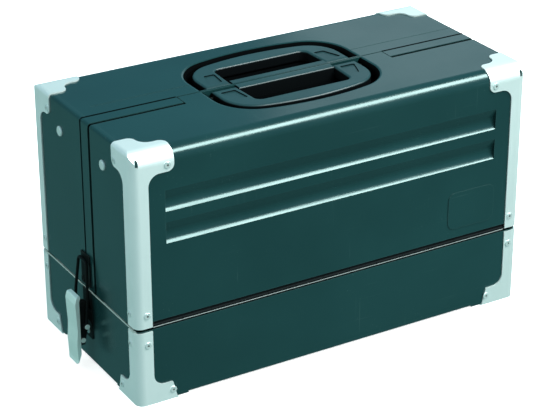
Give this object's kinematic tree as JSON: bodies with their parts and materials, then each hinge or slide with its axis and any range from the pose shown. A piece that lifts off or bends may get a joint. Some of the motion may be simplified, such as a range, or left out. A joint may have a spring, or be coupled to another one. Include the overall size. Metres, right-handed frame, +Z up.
{
  "type": "cantilever tool box",
  "caption": "Sheet steel cantilever tool box: two covers open outwards on piano hinges and parallel arms draw level trays out on both sides; end latches and twin top handles.",
  "frame": {"origin": "middle of the footprint, on the surface that the box stands on", "axes": "+X along the box's length, +Y from the front to the rear, +Z up"},
  "size_m": [0.4784, 0.2142, 0.2612],
  "materials": {
    "body_paint": "dark teal-black enamel, satin gloss",
    "tray_paint": "dark teal-black enamel, satin",
    "protector_steel": "bright zinc plate, satin",
    "rivet_steel": "bright plated steel",
    "latch_nickel": "nickel plated, satin",
    "latch_black": "black plated steel",
    "hinge_black": "black plated steel",
    "handle_plastic": "dark moulded nylon, fine grain",
    "arm_zinc": "zinc plated steel strip"
  },
  "bodies": {
    "base": {"base_pan": "body_paint", "base_left_end": "body_paint", "base_right_end": "body_paint", "base_corner_protectors": "protector_steel", "base_protector_rivets": "rivet_steel", "front_hinge_base_leaf": "hinge_black", "front_hinge_pin": "rivet_steel", "rear_hinge_base_leaf": "hinge_black", "rear_hinge_pin": "rivet_steel", "arm_brackets": "arm_zinc", "arm_foot_rivets": "rivet_steel", "left_latch_bracket": "latch_black", "right_latch_bracket": "latch_black", "latch_pivot_pins": "rivet_steel", "latch_bracket_rivets": "rivet_steel"},
    "front_cover": {"front_cover": "body_paint", "front_cover_left_end": "body_paint", "front_cover_right_end": "body_paint", "front_cover_corner_protectors": "protector_steel", "front_cover_protector_rivets": "rivet_steel", "front_hinge_cover_leaf": "hinge_black", "front_cover_tray_rivets": "rivet_steel", "front_handle_bar": "handle_plastic", "front_handle_pins": "rivet_steel"},
    "front_handle": {"front_handle": "handle_plastic"},
    "front_upper_tray": {"front_upper_tray": "tray_paint", "front_upper_tray_arm_rivets": "rivet_steel"},
    "front_mid_tray": {"front_mid_tray": "tray_paint", "front_mid_tray_dividers": "tray_paint", "front_mid_tray_arm_rivets": "rivet_steel"},
    "front_long_arms": {"front_long_arms": "arm_zinc"},
    "front_short_arms": {"front_short_arms": "arm_zinc"},
    "rear_cover": {"rear_cover": "body_paint", "rear_cover_left_end": "body_paint", "rear_cover_right_end": "body_paint", "rear_cover_corner_protectors": "protector_steel", "rear_cover_protector_rivets": "rivet_steel", "rear_hinge_cover_leaf": "hinge_black", "rear_cover_tray_rivets": "rivet_steel", "rear_handle_bar": "handle_plastic", "rear_handle_pins": "rivet_steel", "rear_cover_closing_band": "body_paint", "latch_keepers": "latch_black", "latch_keeper_rivets": "rivet_steel"},
    "rear_handle": {"rear_handle": "handle_plastic"},
    "rear_upper_tray": {"rear_upper_tray": "tray_paint", "rear_upper_tray_arm_rivets": "rivet_steel"},
    "rear_mid_tray": {"rear_mid_tray": "tray_paint", "rear_mid_tray_dividers": "tray_paint", "rear_mid_tray_arm_rivets": "rivet_steel"},
    "rear_long_arms": {"rear_long_arms": "arm_zinc"},
    "rear_short_arms": {"rear_short_arms": "arm_zinc"},
    "left_latch_lever": {"left_latch_lever": "latch_nickel", "left_latch_lever_channel": "latch_black", "left_latch_lever_pins": "rivet_steel"},
    "left_latch_loop": {"left_latch_loop": "latch_black"},
    "right_latch_lever": {"right_latch_lever": "latch_nickel", "right_latch_lever_channel": "latch_black", "right_latch_lever_pins": "rivet_steel"},
    "right_latch_loop": {"right_latch_loop": "latch_black"}
  },
  "joints": [
    {"name": "front_cover_hinge", "type": "hinge", "parent": "base", "child": "front_cover", "pos_m": [0, -0.1034, 0.0835], "axis": [1, 0, 0], "range_deg": [0, 90]},
    {"name": "front_long_arms_turn", "type": "hinge", "parent": "base", "child": "front_long_arms", "pos_m": [0, -0.0654, 0.0895], "axis": [1, 0, 0], "range_deg": [0, 90]},
    {"name": "front_short_arms_turn", "type": "hinge", "parent": "base", "child": "front_short_arms", "pos_m": [0, -0.0414, 0.0995], "axis": [1, 0, 0], "range_deg": [0, 90]},
    {"name": "front_upper_tray_level", "type": "hinge", "parent": "front_cover", "child": "front_upper_tray", "pos_m": [0, -0.046, 0.23], "axis": [1, 0, 0], "range_deg": [-90, 0]},
    {"name": "front_mid_tray_level", "type": "hinge", "parent": "front_long_arms", "child": "front_mid_tray", "pos_m": [0, -0.0367, 0.16275], "axis": [1, 0, 0], "range_deg": [-90, 0]},
    {"name": "front_handle_lift", "type": "hinge", "parent": "front_cover", "child": "front_handle", "pos_m": [0, -0.0083, 0.2535], "axis": [-1, 0, 0], "range_deg": [0, 90]},
    {"name": "rear_cover_hinge", "type": "hinge", "parent": "base", "child": "rear_cover", "pos_m": [0, 0.1034, 0.0835], "axis": [-1, 0, 0], "range_deg": [0, 90]},
    {"name": "rear_long_arms_turn", "type": "hinge", "parent": "base", "child": "rear_long_arms", "pos_m": [0, 0.0654, 0.0895], "axis": [-1, 0, 0], "range_deg": [0, 90]},
    {"name": "rear_short_arms_turn", "type": "hinge", "parent": "base", "child": "rear_short_arms", "pos_m": [0, 0.0414, 0.0995], "axis": [-1, 0, 0], "range_deg": [0, 90]},
    {"name": "rear_upper_tray_level", "type": "hinge", "parent": "rear_cover", "child": "rear_upper_tray", "pos_m": [0, 0.046, 0.23], "axis": [-1, 0, 0], "range_deg": [-90, 0]},
    {"name": "rear_mid_tray_level", "type": "hinge", "parent": "rear_long_arms", "child": "rear_mid_tray", "pos_m": [0, 0.0367, 0.16275], "axis": [-1, 0, 0], "range_deg": [-90, 0]},
    {"name": "rear_handle_lift", "type": "hinge", "parent": "rear_cover", "child": "rear_handle", "pos_m": [0, 0.0083, 0.2535], "axis": [1, 0, 0], "range_deg": [0, 90]},
    {"name": "left_latch_lever_swing", "type": "hinge", "parent": "base", "child": "left_latch_lever", "pos_m": [-0.2315, 0, 0.072], "axis": [0, 1, 0], "range_deg": [0, 140]},
    {"name": "left_latch_loop_swing", "type": "hinge", "parent": "left_latch_lever", "child": "left_latch_loop", "pos_m": [-0.229, 0, 0.047], "axis": [0, 1, 0], "range_deg": [-140, 0]},
    {"name": "right_latch_lever_swing", "type": "hinge", "parent": "base", "child": "right_latch_lever", "pos_m": [0.2315, 0, 0.072], "axis": [0, -1, 0], "range_deg": [0, 140]},
    {"name": "right_latch_loop_swing", "type": "hinge", "parent": "right_latch_lever", "child": "right_latch_loop", "pos_m": [0.229, 0, 0.047], "axis": [0, -1, 0], "range_deg": [-140, 0]}
  ],
  "couplings": [
    {"joint": "front_long_arms_turn", "follows": "front_cover_hinge", "ratio": 1},
    {"joint": "front_short_arms_turn", "follows": "front_cover_hinge", "ratio": 1},
    {"joint": "front_upper_tray_level", "follows": "front_cover_hinge", "ratio": -1},
    {"joint": "front_mid_tray_level", "follows": "front_cover_hinge", "ratio": -1},
    {"joint": "rear_long_arms_turn", "follows": "rear_cover_hinge", "ratio": 1},
    {"joint": "rear_short_arms_turn", "follows": "rear_cover_hinge", "ratio": 1},
    {"joint": "rear_upper_tray_level", "follows": "rear_cover_hinge", "ratio": -1},
    {"joint": "rear_mid_tray_level", "follows": "rear_cover_hinge", "ratio": -1},
    {"joint": "left_latch_loop_swing", "follows": "left_latch_lever_swing", "ratio": -1},
    {"joint": "right_latch_loop_swing", "follows": "right_latch_lever_swing", "ratio": -1}
  ]
}
